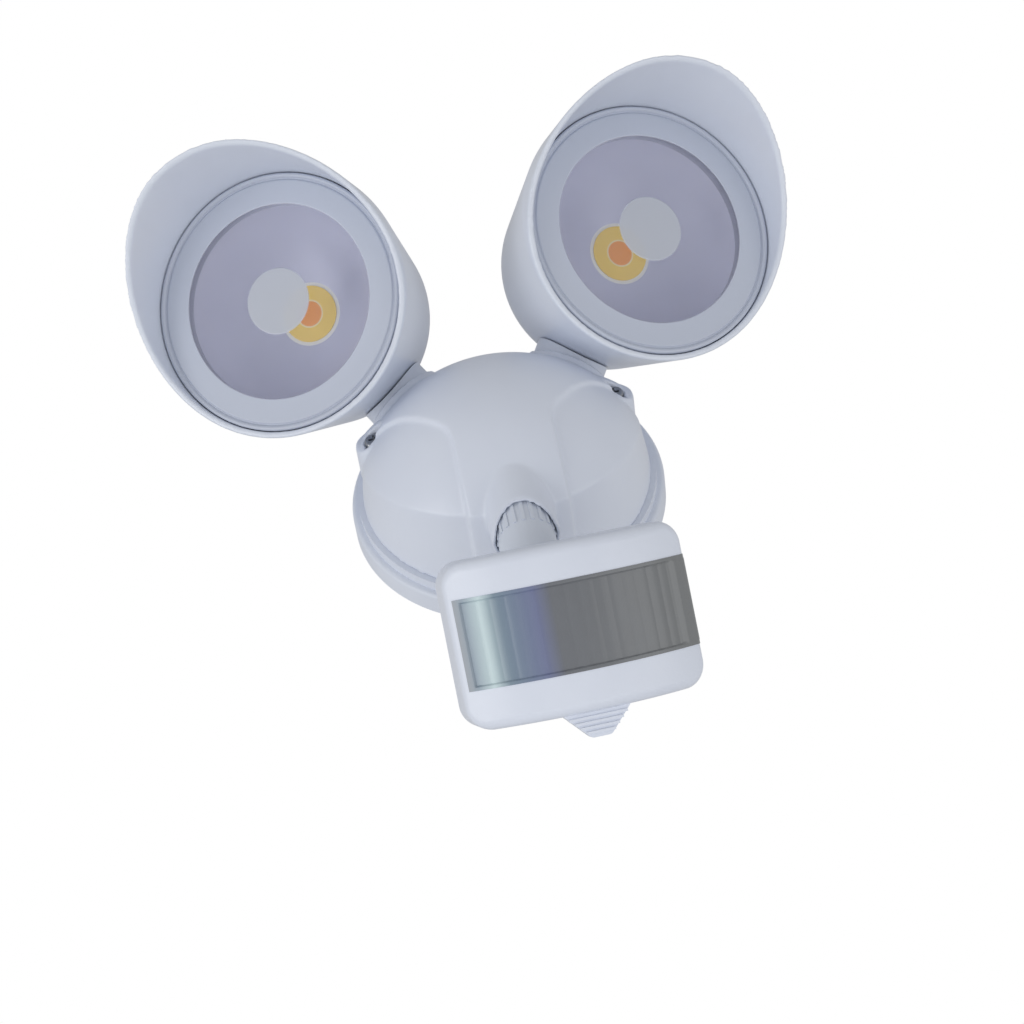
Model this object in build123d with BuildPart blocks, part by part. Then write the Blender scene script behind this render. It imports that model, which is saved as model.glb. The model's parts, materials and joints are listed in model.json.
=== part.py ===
from build123d import *
from math import asin, atan2, cos, hypot, pi, radians, sin, tan
import os

# Twin-head motion sensor security light, millimetres. Origin at the centre of the back plate's
# rear face; the wall is the plane Y = 0, the light faces -Y, +Z is up, +X is right seen from
# the front. The rest pose is the aimed pose: both heads down and out, the sensor facing down.

# ---- general fits ----
wall = 2.4                    # moulded wall
slip = 0.2                    # gap between parts that only locate one another
run_gap = 0.06                # radial running clearance of a pin or spigot
face_gap = 0.15               # axial running clearance between turning faces
move_gap = 0.5                # clearance between parts that sweep past one another

# ---- back plate ----
plate_radius = 60.0
plate_flange = 9.0            # thickness of the round flange against the wall
step_radius = 57.2            # stepped neck between the flange and the cover
seam_depth = 13.0             # depth of the seam with the cover
plate_floor = 3.0             # thickness of the plate's rear wall
spigot_height = 4.0           # ring that locates the cover
spigot_thickness = 2.6
spigot_gap_z = 17.5           # the spigot stops at this height
flange_round = 1.6
cable_hole_radius = 8.0
cable_hole_height = 24.0      # above the centre
wall_screw_spacing = 70.0
wall_screw_radius = 2.7
wall_boss_radius = 6.0
wall_boss_height = 3.0
gasket_inner = 53.0
gasket_outer = 56.5
gasket_depth = 1.5

# ---- cover ----
skirt_radius = 55.2           # at the seam
skirt_draft = 7.6             # degrees, skirt narrows toward the front
skirt_length = 56.0
rim_band = 6.0                # full-round band next to the seam
dome_radius = 60.0
dome_depth = 3.5              # depth of the dome's centre
dome_drop = 9.2               # the dome's centre is below the plate's centre
column_rise = 1.6             # raised column and shoulders above the dome
column_half = 18.7            # half width of the straight part
shoulder_start = -22.0        # height where the column starts to flare
shoulder_mid_x = 24.0
shoulder_mid_z = -10.0
shoulder_out_x = 39.0
shoulder_out_z = 6.5
shoulder_end_x = 62.0
shoulder_end_z = 21.0

# ---- cover screws ----
screw_x = 46.5
screw_z = 15.8
screw_seat_depth = 30.0       # depth of the pocket floor under the head
screw_shank = 1.75
screw_head_radius = 3.7
screw_head_height = 2.4
screw_reach = 20.0            # length under the head
screw_post_radius = 3.0
screw_post_top = 21.0         # depth of the plate post's front face
screw_tower_radius = 7.4
screw_tower_depth = 35.0      # slanted top of the tower, at its axis
screw_tower_slope = 44.0
pocket_radius = 4.1
pocket_notch_radius = 1.6
pocket_notch_drop = 3.4
pocket_notch_out = 2.2
recess_width = 0.9            # cross recess
recess_length = 4.2
recess_depth = 1.3

# ---- head sockets ----
socket_out = 33.9             # degrees, outward lean of the socket axis
socket_forward = 22.2         # degrees, forward lean of the socket axis
socket_rise = 2.4             # boss face above the dome
boss_radius = 16.6
boss_bore = 11.0
boss_depth = 9.0
collar_radius = 14.4
collar_foot = 0.6             # least thickness of the collar under the head
swivel_nut_radius = 15.0
swivel_nut_height = 4.0
seal_section = 1.1
seal_radius = 12.6

# ---- lamp head, measured along its own axis from the head centre ----
head_radius = 41.4            # rear sphere
lens_station = 43.0           # lens front face ahead of the head centre
rim_wall = 2.8                # housing wall around the lens
visor_flare = 0.07            # radius gained per millimetre ahead of the lens
visor_top = 37.3              # visor rim ahead of the lens: top, side and bottom
visor_side = 8.8
visor_bottom = 0.4
visor_wall = 2.0
ledge_height = 2.5            # inner ledge that carries the lens gasket
lens_chamfer = 0.4
reflector_belly_radius = 30.0
reflector_belly_station = 24.0
sink_posts = 3
slot_side = 1.0               # slot clearance beside the tongue
head_yaw = 24.5               # degrees, aim turned outward
head_pitch = 32.2             # degrees, aim below the horizon
lens_radius = 49.2
lens_thickness = 3.0
lens_gasket_thickness = 1.5
lens_gasket_width = 4.2
reflector_aperture = 37.4
reflector_seat = 3.6          # reflector flange inside the lens's edge
reflector_wall = 1.2
reflector_throat = 12.4
led_depth = 29.2              # emitting face behind the lens front
phosphor_radius = 11.0
phosphor_thickness = 0.5
board_radius = 15.0
board_thickness = 1.2
sink_radius = 37.5
sink_thickness = 4.0
sink_post_radius = 3.6
sink_post_circle = 29.0
sink_screw_radius = 1.5
sink_screw_head = 2.9
sink_screw_head_height = 1.8
sink_screw_reach = 9.0
fin_thickness = 1.6
fin_height = 7.0
fin_span = 44.0
fin_pitch = 5.5
fin_start = 13.0

# ---- tilt pivot inside each head ----
pin_radius = 3.0
tongue_thickness = 9.0
tongue_width = 11.0
tongue_foot = 1.0              # the tongue's root stops this far above the boss
eye_radius = 7.5
lug_thickness = 4.5
lug_radius = 7.0
lug_side_gap = 0.2
tilt_up = 40.0                # degrees the head can be raised from rest
slot_margin = 2.0

# ---- hood, lock nut and sensor arm ----
hood_radius = 12.4
hood_axis_depth = 45.8
hood_top_z = -26.0
hood_bottom_z = -64.0
hood_cut_front_z = -55.0      # slanted mouth: height at the hood's front
hood_cut_angle = 45.0
hood_wall = 1.3
stub_radius = 7.4             # fixed tube that the nut screws on
stub_bottom_z = -60.0
nut_radius = 10.3
nut_top_z = -53.0
nut_bottom_z = -78.0
nut_rib_height = 10.5
nut_rib_rise = 0.45
nut_rib_width = 1.3
nut_rib_count = 20
nut_rib_inset = 0.6
race_floor = -75.0            # the race rests here on the nut's inner cone
race_lip_radius = 7.2
ball_radius = 7.0
ball_z = -71.5
race_radius = 8.9
race_above = 5.5              # race height above and below the ball's equator
race_below = 3.0
arm_neck_radius = 3.2
arm_lean_forward = 6.1        # from the ball to the lower hinge, forward, right and down
arm_lean_right = 4.5
arm_drop = 17.0
hinge_eye_radius = 5.5
hinge_eye_width = 9.0
hinge_pin_radius = 2.0
nut_mouth_radius = 8.0        # lower mouth, it narrows to the throat
nut_throat_radius = 7.0
nut_throat_rise = 1.7

# ---- sensor head ----
sensor_width = 83.0
sensor_height = 57.5
sensor_side_flat = 4.06        # flat part of the front housing's sides
sensor_back_depth = 16.0
sensor_wall = 2.2
sensor_corner = 8.5
sensor_front_round = 4.0
sensor_turn = 6.7             # degrees, turned right about its own upright
sensor_pitch = 44.5           # degrees below the horizon
hinge_behind = 7.0            # hinge axis behind the sensor's rear face
hinge_above = 17.2            # hinge axis above the sensor's centre
hinge_lug_thickness = 4.0
window_width = 76.0
window_height = 30.6
window_drop = -0.7             # window centre below the face centre
window_corner = 2.5
window_wrap_radius = 62.0     # plan radius of the curved lens
fresnel_thickness = 1.2
fresnel_lip = 1.2
fresnel_sink = 0.3            # lens face behind the housing's face
tab_width = 27.0
tab_behind = 4.0              # tab's front face behind the front centre
tab_taper = 47.0              # degrees
tab_tip_round = 2.0
tab_ridge_pitch = 1.7
tab_ridge_width = 0.9
tab_ridge_rise = 0.6
tab_length = 8.6
tab_thickness = 5.0
tab_ridges = 4
dial_radius = 4.0
dial_height = 2.4
dial_spacing = 14.0
dial_shaft_radius = 1.6
dial_slot = 0.9
pir_radius = 4.6
pir_height = 4.2
sensor_board_thickness = 1.6
sensor_post_x = 32.0
sensor_post_y = 22.0
sensor_screw_bite = 7.0
sensor_screw_head_height = 1.6
sensor_back_round = 3.5
sensor_board_width = 60.0
sensor_board_height = 32.0
sensor_board_post_x = 25.0
board_seat = 24.0             # rear of the sensor board behind the front centre
pir_flange = 0.6
pot_width = 9.0
pot_depth = 6.0
dial_drop = 12.0
sensor_screw_radius = 1.2
sensor_screw_head = 2.4
sensor_post_radius = 2.8

# ---- electrics ----
driver_width = 60.0
driver_height = 42.0
driver_thickness = 1.6
driver_depth = 19.0           # depth of the board's rear face
driver_centre_z = -12.0
driver_post_radius = 2.8
driver_hole = 1.4
terminal_width = 30.0
terminal_height = 13.0
terminal_depth = 11.0
terminal_z = -40.0
terminal_poles = 3
grommet_lip = 2.6
grommet_bore = 4.6
grommet_lip_height = 2.0
driver_corner = 2.0
driver_edge = 4.0             # hole centres from the board's edges
driver_screw_head = 2.6
driver_screw_head_height = 1.6
terminal_screw_radius = 1.8
terminal_screw_depth = 4.0
terminal_wire_radius = 1.6
transformer_width = 20.0
transformer_height = 18.0
transformer_depth = 15.0
transformer_offset = 14.0
relay_width = 15.0
relay_height = 12.0
relay_depth = 13.0
relay_offset = 9.0
capacitor_radius = 4.0
capacitor_height = 14.0
capacitor_offset = 6.0


front = Vector(0, -1, 0)
right = Vector(1, 0, 0)
spigot_radius = skirt_radius - wall - spigot_height * tan(radians(skirt_draft)) - slip
spigot_end_depth = seam_depth + spigot_height + slip
bow_depth = window_wrap_radius - (window_wrap_radius ** 2 - sensor_width ** 2 / 4) ** 0.5
sensor_front_depth = bow_depth + sensor_side_flat
wall_screw_points = [(wall_screw_spacing / 2, 0), (-wall_screw_spacing / 2, 0)]
driver_holes = [
    (x * (driver_width / 2 - driver_edge), driver_centre_z + z * (driver_height / 2 - driver_edge))
    for x in (1, -1) for z in (1, -1)
]
dome_centre = Vector(0, -dome_depth, -dome_drop)


def front_plane(depth):
    """Plane parallel to the wall at the given depth, facing the front."""
    return Plane(origin=front * depth, x_dir=right, z_dir=front)


def aimed(out_angle, down_angle):
    """Unit vector turned right of straight ahead and then down, in degrees."""
    out_angle, down_angle = radians(out_angle), radians(down_angle)
    return Vector(
        cos(down_angle) * sin(out_angle), -cos(down_angle) * cos(out_angle), -sin(down_angle)
    )


def degrees_of(width, radius):
    """Angle that a half width takes up at a radius, in degrees."""
    return asin(width / radius) * 180 / pi


def turned_plane(origin, axis, side):
    """Sketch plane whose x is a radius and whose y runs along the turning axis."""
    return Plane(origin=origin, x_dir=side, z_dir=side.cross(axis))


def ring_points(low, high, inner, outer):
    return [(inner, low), (outer, low), (outer, high), (inner, high)]


# ---- head frame of the right side; the left side is its mirror image ----
aim = aimed(head_yaw, head_pitch)
across = Vector(cos(radians(head_yaw)), sin(radians(head_yaw)), 0)
visor_up = aim.cross(across)
socket_axis = Vector(
    cos(radians(socket_forward)) * sin(radians(socket_out)),
    -sin(radians(socket_forward)),
    cos(radians(socket_forward)) * cos(radians(socket_out)),
)
tilt_axis = socket_axis.cross(aim).normalized()
post_dir = aim.cross(tilt_axis)
socket_side = socket_axis.cross(tilt_axis)

rim_radius = lens_radius + rim_wall
reflector_rim = lens_radius - reflector_seat

# The housing's cone touches the rear sphere, so both radii and the lens station set its angle.
cone_angle = atan2(rim_radius, lens_station) - asin(head_radius / hypot(rim_radius, lens_station))
tangent_station = -head_radius * sin(cone_angle)
tangent_radius = head_radius * cos(cone_angle)


def cone_radius(station):
    slope = (rim_radius - tangent_radius) / (lens_station - tangent_station)
    return tangent_radius + slope * (station - tangent_station)


boss_face = dome_radius + socket_rise
head_lift = cone_radius(collar_radius) + move_gap + collar_foot + face_gap
head_centre = dome_centre + socket_axis * (boss_face + head_lift)
tongue_root = head_lift - tongue_foot
head_profile = turned_plane(head_centre, aim, visor_up)
head_axis = Axis(head_centre, aim)
socket_profile = turned_plane(dome_centre, socket_axis, socket_side)
socket_line = Axis(dome_centre, socket_axis)
tongue_plane = Plane(origin=head_centre, x_dir=-socket_axis, z_dir=tilt_axis)

half_slot = degrees_of(tongue_width / 2 + slot_margin, head_radius)
slot_outline = [
    (reach * cos(radians(angle)), reach * sin(radians(angle)))
    for reach, angle in (
        (head_radius / 2, -half_slot), (2 * head_radius, -half_slot),
        (2 * head_radius, tilt_up / 2), (2 * head_radius, tilt_up + half_slot),
        (head_radius / 2, tilt_up + half_slot),
    )
]

gasket_seat = lens_station - lens_thickness - lens_gasket_thickness
phosphor_front = lens_station - led_depth
board_front = phosphor_front - phosphor_thickness
sink_front = board_front - board_thickness
sink_back = sink_front - sink_thickness


def head_station(station):
    """Plane square to the head's axis; x points from the socket up through the head."""
    return Plane(origin=head_centre + aim * station, x_dir=post_dir, z_dir=aim)


def cone_start(grow):
    return (0, -head_radius - grow)


def bowl_line(grow):
    """Outer line of the housing from the rear pole to the rim, grown outward."""
    radius = head_radius + grow
    start = -pi / 2
    middle = (start - cone_angle) / 2
    arc = ThreePointArc(
        (0, radius * sin(start)),
        (radius * cos(middle), radius * sin(middle)),
        (radius * cos(-cone_angle), radius * sin(-cone_angle)),
    )
    return Line(arc @ 1, (cone_radius(lens_station) + grow / cos(cone_angle), lens_station))


# ---- cover ----
def dome_ball(grow):
    """Dome sphere, grown by the given amount."""
    with BuildPart() as ball:
        with Locations(dome_centre):
            Sphere(dome_radius + grow)
    return ball.part


def skirt_body(grow):
    """Tapered skirt from the seam forward, grown by the given amount."""
    with BuildPart() as skirt:
        with BuildSketch(front_plane(seam_depth)):
            Circle(skirt_radius + grow)
        extrude(amount=skirt_length, taper=skirt_draft)
    return skirt.part


with BuildPart() as column:
    with BuildSketch(front_plane(seam_depth)):
        with BuildLine():
            low = Line((0, -skirt_radius - wall), (column_half, -skirt_radius - wall))
            side = Line(low @ 1, (column_half, shoulder_start))
            flare = Spline(
                side @ 1,
                (shoulder_mid_x, shoulder_mid_z),
                (shoulder_out_x, shoulder_out_z),
                (shoulder_end_x, shoulder_end_z),
                tangents=[(0, 1), (1, 0.55)],
            )
            end = Line(flare @ 1, (shoulder_end_x, dome_radius + wall))
            top = Line(end @ 1, (0, dome_radius + wall))
            Line(top @ 1, low @ 0)
        make_face()
        mirror(about=Plane.YZ)
    extrude(amount=dome_radius + seam_depth)
    add(dome_ball(column_rise), mode=Mode.INTERSECT)
    add(skirt_body(column_rise), mode=Mode.INTERSECT)

seam_plane = front_plane(seam_depth)
screw_points = [(screw_x, screw_z), (-screw_x, screw_z)]
tower_out = Vector(screw_x, 0, screw_z).normalized()
tower_top = Plane(
    origin=Vector(screw_x, -screw_tower_depth, screw_z),
    z_dir=tower_out * sin(radians(screw_tower_slope)) + front * cos(radians(screw_tower_slope)),
)
with BuildPart() as screw_tower:
    with BuildSketch(seam_plane):
        with Locations((screw_x, screw_z)):
            Circle(screw_tower_radius)
    extrude(amount=dome_radius)
    split(bisect_by=tower_top, keep=Keep.BOTTOM)

hood_origin = Vector(0, -hood_axis_depth, 0)
mouth_normal = Vector(0, -sin(radians(hood_cut_angle)), -cos(radians(hood_cut_angle)))
mouth_plane = Plane(
    origin=Vector(0, -hood_axis_depth - hood_radius, hood_cut_front_z),
    x_dir=right,
    z_dir=mouth_normal,
)


def hood_plane(height):
    """Level plane on the hood's axis, facing down."""
    return Plane(origin=hood_origin + Vector(0, 0, height), x_dir=right, z_dir=(0, 0, -1))


with BuildPart() as cover_void:
    add(skirt_body(-wall))
    add(dome_ball(-wall), mode=Mode.INTERSECT)

with BuildPart() as boss:
    with BuildSketch(socket_profile):
        Polygon(*ring_points(boss_face - boss_depth, boss_face, 0, boss_radius), align=None)
    revolve(axis=socket_line)

with BuildPart() as boss_hole:
    with BuildSketch(socket_profile):
        Polygon(*ring_points(boss_face - 2 * boss_depth, boss_face, 0, boss_bore), align=None)
        Polygon(
            *ring_points(boss_face, boss_face + boss_depth, 0, collar_radius + move_gap), align=None
        )
    revolve(axis=socket_line)

with BuildPart() as cover:
    add(skirt_body(0))
    add(dome_ball(0), mode=Mode.INTERSECT)
    with BuildSketch(seam_plane):
        Circle(skirt_radius)
    extrude(amount=rim_band, taper=skirt_draft)
    add(column.part)
    add(screw_tower.part)
    mirror(screw_tower.part, about=Plane.YZ)
    with BuildSketch(hood_plane(hood_top_z)):
        Circle(hood_radius)
    extrude(amount=hood_top_z - hood_bottom_z)
    split(bisect_by=mouth_plane, keep=Keep.BOTTOM)
    add(cover_void.part, mode=Mode.SUBTRACT)
    add(boss.part)
    mirror(boss.part, about=Plane.YZ)
    split(bisect_by=seam_plane, keep=Keep.TOP)
    with BuildSketch(hood_plane(nut_top_z + move_gap)):
        Circle(hood_radius - hood_wall)
    extrude(amount=hood_radius + nut_top_z - hood_bottom_z, mode=Mode.SUBTRACT)
    with BuildSketch(hood_plane(nut_top_z + move_gap)):
        Circle(stub_radius)
    extrude(amount=nut_top_z + move_gap - stub_bottom_z)
    add(boss_hole.part, mode=Mode.SUBTRACT)
    mirror(boss_hole.part, about=Plane.YZ, mode=Mode.SUBTRACT)
    with BuildSketch(front_plane(spigot_end_depth)):
        with Locations(*screw_points):
            Circle(screw_tower_radius)
    extrude(amount=screw_seat_depth - spigot_end_depth)
    with BuildSketch(front_plane(spigot_end_depth)):
        with Locations(*screw_points):
            Circle(screw_post_radius + slip)
    extrude(amount=screw_post_top - spigot_end_depth, mode=Mode.SUBTRACT)
    with BuildSketch(front_plane(screw_seat_depth)):
        with Locations(*screw_points):
            Circle(pocket_radius)
        with Locations(
            (screw_x + pocket_notch_out, screw_z - pocket_notch_drop),
            (-screw_x - pocket_notch_out, screw_z - pocket_notch_drop),
        ):
            Circle(pocket_notch_radius)
    extrude(amount=dome_radius, mode=Mode.SUBTRACT)
    with BuildSketch(front_plane(screw_post_top)):
        with Locations(*screw_points):
            Circle(screw_shank + slip)
    extrude(amount=screw_seat_depth - screw_post_top, mode=Mode.SUBTRACT)

# ---- back plate, wall gasket, cable grommet ----
with BuildPart() as back_plate:
    with BuildSketch(front_plane(0)):
        Circle(plate_radius)
    extrude(amount=plate_flange)
    rim = edges().group_by(Axis.Y)[0].filter_by(GeomType.CIRCLE)
    fillet(rim, flange_round)
    with BuildSketch(front_plane(plate_flange)):
        Circle(step_radius)
    extrude(amount=seam_depth - plate_flange)
    with BuildSketch(front_plane(seam_depth)):
        Circle(spigot_radius)
    extrude(amount=spigot_height)
    with BuildSketch(front_plane(plate_floor)):
        Circle(spigot_radius - spigot_thickness)
    extrude(amount=seam_depth + spigot_height, mode=Mode.SUBTRACT)
    # The spigot is open at the top, where the two head sockets pass it.
    with BuildSketch(front_plane(seam_depth)):
        with Locations((0, spigot_gap_z)):
            Rectangle(2 * plate_radius, plate_radius, align=(Align.CENTER, Align.MIN))
    extrude(amount=spigot_height, mode=Mode.SUBTRACT)
    with BuildSketch(front_plane(plate_floor)):
        with Locations(*screw_points):
            Circle(screw_post_radius)
    extrude(amount=screw_post_top - plate_floor)
    with BuildSketch(front_plane(screw_seat_depth - screw_reach)):
        with Locations(*screw_points):
            Circle(screw_shank)
    extrude(amount=screw_reach, mode=Mode.SUBTRACT)
    with BuildSketch(front_plane(plate_floor)):
        with Locations(*wall_screw_points):
            Circle(wall_boss_radius)
        with Locations((0, cable_hole_height)):
            Circle(cable_hole_radius + grommet_lip)
    extrude(amount=wall_boss_height)
    with BuildSketch(front_plane(0)):
        with Locations(*wall_screw_points):
            Circle(wall_screw_radius)
        with Locations((0, cable_hole_height)):
            Circle(cable_hole_radius)
    extrude(amount=plate_floor + wall_boss_height, mode=Mode.SUBTRACT)
    with BuildSketch(front_plane(plate_floor)):
        with Locations(*driver_holes):
            Circle(driver_post_radius)
    extrude(amount=driver_depth - plate_floor)
    with BuildSketch(front_plane(plate_floor)):
        with Locations((0, terminal_z)):
            Rectangle(terminal_width, terminal_height)
    extrude(amount=wall_boss_height)
    with BuildSketch(front_plane(0)):
        Circle(gasket_outer)
        Circle(gasket_inner, mode=Mode.SUBTRACT)
    extrude(amount=gasket_depth, mode=Mode.SUBTRACT)

with BuildPart() as wall_gasket:
    with BuildSketch(front_plane(0)):
        Circle(gasket_outer)
        Circle(gasket_inner, mode=Mode.SUBTRACT)
    extrude(amount=gasket_depth)

with BuildPart() as cable_grommet:
    with BuildSketch(front_plane(0)):
        with Locations((0, cable_hole_height)):
            Circle(cable_hole_radius)
    extrude(amount=plate_floor + wall_boss_height)
    with BuildSketch(front_plane(plate_floor + wall_boss_height)):
        with Locations((0, cable_hole_height)):
            Circle(cable_hole_radius + grommet_lip)
    extrude(amount=grommet_lip_height)
    with BuildSketch(front_plane(0)):
        with Locations((0, cable_hole_height)):
            Circle(grommet_bore)
    extrude(amount=2 * (plate_floor + wall_boss_height + grommet_lip_height), mode=Mode.SUBTRACT)


def cross_recess(plane, points):
    """Cross-shaped driver recess sunk from the given head face."""
    with BuildPart() as cross:
        with BuildSketch(plane):
            with Locations(*points):
                Rectangle(recess_length, recess_width)
                Rectangle(recess_width, recess_length)
        extrude(amount=-recess_depth)
    return cross.part


with BuildPart() as cover_screws:
    with BuildSketch(front_plane(screw_seat_depth)):
        with Locations(*screw_points):
            Circle(screw_head_radius)
    extrude(amount=screw_head_height)
    fillet(edges().group_by(Axis.Y)[0], screw_head_height / 2)
    with BuildSketch(front_plane(screw_seat_depth - screw_reach)):
        with Locations(*screw_points):
            Circle(screw_shank)
    extrude(amount=screw_reach)
    add(cross_recess(front_plane(screw_seat_depth + screw_head_height), screw_points),
        mode=Mode.SUBTRACT)

# ---- electrics on the back plate ----
with BuildPart() as terminal_block:
    with BuildSketch(front_plane(plate_floor + wall_boss_height)):
        with Locations((0, terminal_z)):
            Rectangle(terminal_width, terminal_height)
    extrude(amount=terminal_depth)
    with BuildSketch(front_plane(plate_floor + wall_boss_height + terminal_depth)):
        with Locations((0, terminal_z)):
            with GridLocations(terminal_width / terminal_poles, terminal_height / 2, terminal_poles, 2):
                Circle(terminal_screw_radius)
    extrude(amount=-terminal_screw_depth, mode=Mode.SUBTRACT)
    with BuildSketch(Plane.XY.offset(terminal_z - terminal_height / 2)):
        with Locations((0, -plate_floor - wall_boss_height - terminal_depth / 3)):
            with GridLocations(terminal_width / terminal_poles, 1, terminal_poles, 1):
                Circle(terminal_wire_radius)
    extrude(amount=terminal_height, mode=Mode.SUBTRACT)

with BuildPart() as driver_board:
    with BuildSketch(front_plane(driver_depth)):
        with Locations((0, driver_centre_z)):
            RectangleRounded(driver_width, driver_height, driver_corner)
        with Locations(*driver_holes):
            Circle(driver_hole, mode=Mode.SUBTRACT)
    extrude(amount=driver_thickness)

driver_face = front_plane(driver_depth + driver_thickness)
with BuildPart() as driver_parts:
    with BuildSketch(driver_face):
        with Locations((-transformer_offset, driver_centre_z)):
            Rectangle(transformer_width, transformer_height)
    extrude(amount=transformer_depth)
    with BuildSketch(driver_face):
        with Locations((transformer_offset, driver_centre_z + relay_offset)):
            Rectangle(relay_width, relay_height)
    extrude(amount=relay_depth)
    with BuildSketch(driver_face):
        with Locations(
            (capacitor_offset, driver_centre_z - relay_offset),
            (transformer_offset + capacitor_radius, driver_centre_z - relay_offset),
        ):
            Circle(capacitor_radius)
    extrude(amount=capacitor_height)

with BuildPart() as driver_screws:
    with BuildSketch(driver_face):
        with Locations(*driver_holes):
            Circle(driver_screw_head)
    extrude(amount=driver_screw_head_height)
    with BuildSketch(front_plane(driver_depth)):
        with Locations(*driver_holes):
            Circle(driver_hole)
    extrude(amount=driver_thickness)

# ---- lamp head, right side ----
visor_end = visor_top + wall
visor_radius = rim_radius + visor_flare * visor_end
pocket_wall_radius = lens_radius + slip
inner_ledge = gasket_seat - ledge_height
sink_post_root = (head_radius ** 2 - (sink_post_circle + sink_post_radius) ** 2) ** 0.5 - wall / 2

with BuildPart() as housing:
    with BuildSketch(head_profile):
        with BuildLine():
            cone = bowl_line(0)
            flare = Line(cone @ 1, (visor_radius, lens_station + visor_end))
            lip = Line(flare @ 1, (visor_radius - visor_wall, lens_station + visor_end))
            inside = Line(lip @ 1, (pocket_wall_radius, lens_station))
            pocket = Line(inside @ 1, (pocket_wall_radius, gasket_seat))
            seat = Line(pocket @ 1, (reflector_rim + slip, gasket_seat))
            drop = Line(seat @ 1, (reflector_rim + slip, inner_ledge))
            under = Line(drop @ 1, (cone_radius(inner_ledge) - wall / cos(cone_angle), inner_ledge))
            middle = -(pi / 2 + cone_angle) / 2
            inner = head_radius - wall
            hollow = ThreePointArc(
                (inner * cos(-cone_angle), inner * sin(-cone_angle)),
                (inner * cos(middle), inner * sin(middle)),
                (0, -inner),
            )
            Line(under @ 1, hollow @ 0)
            Line(hollow @ 1, cone_start(0))
        make_face()
    revolve(axis=head_axis)
    # Posts for the heat sink, square to the aim.
    with BuildSketch(head_station(sink_back)):
        with PolarLocations(sink_post_circle, sink_posts):
            Circle(sink_post_radius)
    extrude(amount=-(sink_back + sink_post_root))
    with BuildSketch(head_station(sink_front)):
        with PolarLocations(sink_post_circle, sink_posts):
            Circle(sink_screw_radius)
    extrude(amount=-sink_screw_reach, mode=Mode.SUBTRACT)
    # Slot that lets the tongue swing from the rest pose to the raised pose.
    with BuildSketch(tongue_plane):
        Polygon(*slot_outline, align=None)
    extrude(amount=tongue_thickness / 2 + slot_side, both=True, mode=Mode.SUBTRACT)
    # The visor rim is one sweeping cut, long above the lens and level with it below.
    with BuildSketch(head_profile):
        with BuildLine():
            rim_cut = ThreePointArc(
                (-rim_radius, lens_station + visor_bottom),
                (0, lens_station + visor_side),
                (rim_radius, lens_station + visor_top),
            )
            Polyline(
                rim_cut @ 1,
                rim_cut @ 1 + Vector(2 * rim_radius, rim_radius),
                (-2 * rim_radius, lens_station + 3 * rim_radius),
                rim_cut @ 0 + Vector(-rim_radius, 0),
                rim_cut @ 0,
            )
        make_face()
    extrude(amount=2 * rim_radius, both=True, mode=Mode.SUBTRACT)

with BuildPart() as lens:
    with BuildSketch(head_station(lens_station)):
        Circle(lens_radius)
    extrude(amount=-lens_thickness)
    chamfer(edges().filter_by(GeomType.CIRCLE), lens_chamfer)

with BuildPart() as lens_gasket:
    with BuildSketch(head_station(gasket_seat)):
        Circle(lens_radius)
        Circle(lens_radius - lens_gasket_width, mode=Mode.SUBTRACT)
    extrude(amount=lens_gasket_thickness)

with BuildPart() as reflector:
    with BuildSketch(head_profile):
        with BuildLine():
            bowl = Spline(
                (reflector_throat, board_front),
                (reflector_belly_radius, reflector_belly_station),
                (reflector_aperture, gasket_seat),
            )
            flange = Line(bowl @ 1, (reflector_rim, gasket_seat))
            down = Line(flange @ 1, (reflector_rim, gasket_seat - reflector_wall))
            back = Line(down @ 1, (reflector_aperture + reflector_wall, gasket_seat - reflector_wall))
            shell = Spline(
                back @ 1,
                (reflector_belly_radius + reflector_wall, reflector_belly_station - reflector_wall),
                (reflector_throat + reflector_wall, board_front),
            )
            Line(shell @ 1, bowl @ 0)
        make_face()
    revolve(axis=head_axis)

with BuildPart() as led_board:
    with BuildSketch(head_station(sink_front)):
        Circle(board_radius)
    extrude(amount=board_thickness)

with BuildPart() as led_phosphor:
    with BuildSketch(head_station(board_front)):
        Circle(phosphor_radius)
    extrude(amount=phosphor_thickness)

fin_rows = [(0, sign * (fin_start + row * fin_pitch)) for sign in (1, -1) for row in range(2)]
with BuildPart() as heat_sink:
    with BuildSketch(head_station(sink_back)):
        Circle(sink_radius)
        with PolarLocations(sink_post_circle, sink_posts):
            Circle(sink_screw_radius, mode=Mode.SUBTRACT)
    extrude(amount=sink_thickness)
    # Two lugs carry the pivot pin on either side of the tongue's eye.
    for sign in (1, -1):
        middle_of_lug = sign * (tongue_thickness + lug_thickness + 2 * lug_side_gap) / 2
        lug_plane = Plane(
            origin=head_centre + tilt_axis * middle_of_lug, x_dir=aim, z_dir=tilt_axis
        )
        with BuildSketch(lug_plane):
            Circle(lug_radius)
            with Locations((sink_back / 2, 0)):
                Rectangle(sink_back, 2 * lug_radius)
            Circle(pin_radius, mode=Mode.SUBTRACT)
        extrude(amount=lug_thickness / 2, both=True)
    with BuildSketch(head_station(sink_back)):
        with Locations(*fin_rows):
            Rectangle(fin_span - 2 * fin_height, fin_thickness)
    extrude(amount=-fin_height)

with BuildPart() as sink_screws:
    with BuildSketch(head_station(sink_front)):
        with PolarLocations(sink_post_circle, sink_posts):
            Circle(sink_screw_head)
    extrude(amount=sink_screw_head_height)
    with BuildSketch(head_station(sink_front)):
        with PolarLocations(sink_post_circle, sink_posts):
            Circle(sink_screw_radius)
    extrude(amount=-sink_screw_reach)

with BuildPart() as pivot_pin:
    with BuildSketch(Plane(origin=head_centre, x_dir=aim, z_dir=tilt_axis)):
        Circle(pin_radius)
    extrude(amount=tongue_thickness / 2 + lug_side_gap + lug_thickness, both=True)

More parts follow.
